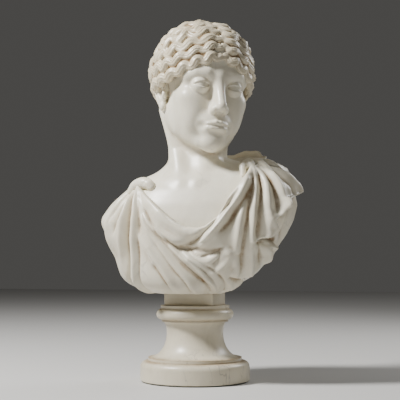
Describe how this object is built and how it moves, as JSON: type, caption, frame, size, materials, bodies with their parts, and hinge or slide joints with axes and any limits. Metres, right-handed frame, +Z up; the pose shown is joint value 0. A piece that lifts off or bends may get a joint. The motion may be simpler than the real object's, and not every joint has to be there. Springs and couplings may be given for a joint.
{
  "type": "marble bust",
  "caption": "Life-size draped classical bust with wavy hair, turned head and hollowed back, on a round turned socle it can be swivelled on.",
  "frame": {"origin": "on the floor, on the socle's axis, which is the swivel's axis", "axes": "+Z up, the chest faces -Y, the sitter's left shoulder is towards +X"},
  "size_m": [0.3823, 0.213, 0.6636],
  "materials": {
    "bust_marble": "polished white marble with faint warm veins",
    "socle_marble": "polished white marble with grey-brown veins",
    "lime_bed": "matt lime mortar",
    "grout": "matt grout",
    "steel": "satin stainless steel",
    "brass": "turned brass",
    "felt": "dark green felt"
  },
  "bodies": {
    "socle": {"felt_pad": "felt", "base_disc": "socle_marble", "waist_drum": "socle_marble", "collar_ring": "socle_marble", "turning_washer": "brass", "slip_washer": "brass"},
    "bust": {"support_block": "bust_marble", "draped_chest": "bust_marble", "head_and_neck": "bust_marble", "neck_bed": "lime_bed", "neck_dowel": "steel", "threaded_rod": "steel", "rod_grout": "grout", "flat_washer": "steel", "lock_nut": "steel"}
  },
  "joints": [
    {"name": "bust_swivel", "type": "hinge", "parent": "socle", "child": "bust", "pos_m": [0, 0, 0], "axis": [0, 0, 1], "continuous": true}
  ]
}
